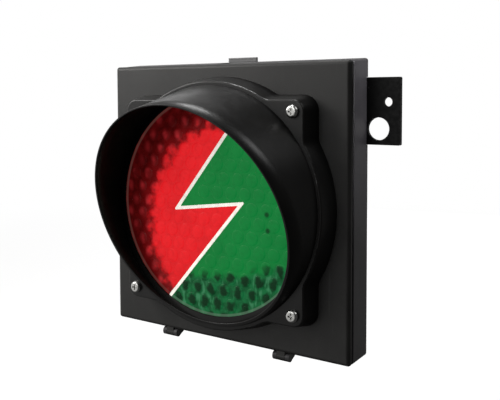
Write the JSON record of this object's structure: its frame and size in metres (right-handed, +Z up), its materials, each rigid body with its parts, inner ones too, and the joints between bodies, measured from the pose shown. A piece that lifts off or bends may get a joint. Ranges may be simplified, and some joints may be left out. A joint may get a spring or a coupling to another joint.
{
  "type": "traffic signal head",
  "caption": "Square shallow LED signal head: round cut-away visor, split red and green lens, bottom-hinged door with sprung top latch, and a side-ear wall bracket.",
  "frame": {"origin": "on the lens axis, in the flat rear face of the housing, which is also the wall face of the bracket", "axes": "+Z up, the lens looks along -Y, +X is to the right for someone looking at the lens"},
  "size_m": [0.1843, 0.0823, 0.1746],
  "materials": {
    "housing_plastic": "moulded, fine texture",
    "door_plastic": "moulded, fine texture",
    "visor_plastic": "moulded, satin",
    "black_rubber": "moulded",
    "lens_rubber": "translucent silicone",
    "red_lens": "prismatic, lit",
    "green_lens": "prismatic, lit",
    "divider_white": "smooth",
    "circuit_board": "solder mask",
    "red_led": "clear epoxy, tinted",
    "green_led": "clear epoxy, tinted",
    "resistor_black": "moulded",
    "connector_nylon": "natural nylon",
    "zinc_steel": "zinc plated",
    "bright_steel": "nickel plated",
    "spring_steel": "rolled",
    "black_steel": "powder coated",
    "black_zinc": "black zinc",
    "brass": "turned",
    "grey_plastic": "moulded acetal",
    "terminal_green": "moulded",
    "film_yellow": "dipped epoxy",
    "capacitor_sleeve": "shrink sleeve",
    "fuse_glass": "clear",
    "wire_pvc": "PVC insulation"
  },
  "bodies": {
    "housing": {"rear_housing": "housing_plastic", "housing_gasket": "black_rubber", "hinge_pins": "black_zinc", "latch_pin": "bright_steel", "latch_spring": "spring_steel", "mounting_bracket": "black_steel", "bracket_screws": "black_zinc", "bracket_inserts": "brass", "driver_board": "circuit_board", "driver_screws": "zinc_steel", "terminal_block": "terminal_green", "terminal_screws": "zinc_steel", "film_capacitor": "film_yellow", "electrolytic_capacitors": "capacitor_sleeve", "rectifier": "resistor_black", "fuse": "fuse_glass", "fuse_clips": "bright_steel", "driver_connector": "connector_nylon", "cable_grommet": "black_rubber", "harness_housing": "wire_pvc"},
    "door": {"front_door": "door_plastic", "visor": "visor_plastic", "visor_screws": "bright_steel", "visor_nuts": "zinc_steel", "lens_red": "red_lens", "lens_green": "green_lens", "lens_divider": "divider_white", "lens_gasket": "lens_rubber", "lens_retainer": "door_plastic", "led_board": "circuit_board", "led_board_screws": "zinc_steel", "red_leds": "red_led", "green_leds": "green_led", "led_resistors": "resistor_black", "led_connector": "connector_nylon", "harness_door": "wire_pvc"},
    "latch": {"latch_lever": "grey_plastic", "latch_blade": "spring_steel", "latch_rivet": "bright_steel"}
  },
  "joints": [
    {"name": "door_hinge", "type": "hinge", "parent": "housing", "child": "door", "pos_m": [0, -0.0212, -0.0852], "axis": [1, 0, 0], "range_deg": [0, 105], "deforming": ["latch_blade"]},
    {"name": "latch_pivot", "type": "hinge", "parent": "housing", "child": "latch", "pos_m": [0.0015, -0.0095, 0.0786], "axis": [1, 0, 0], "range_deg": [0, 12], "stiffness_Nm_per_rad": 0.02, "deforming": ["latch_spring"]}
  ]
}
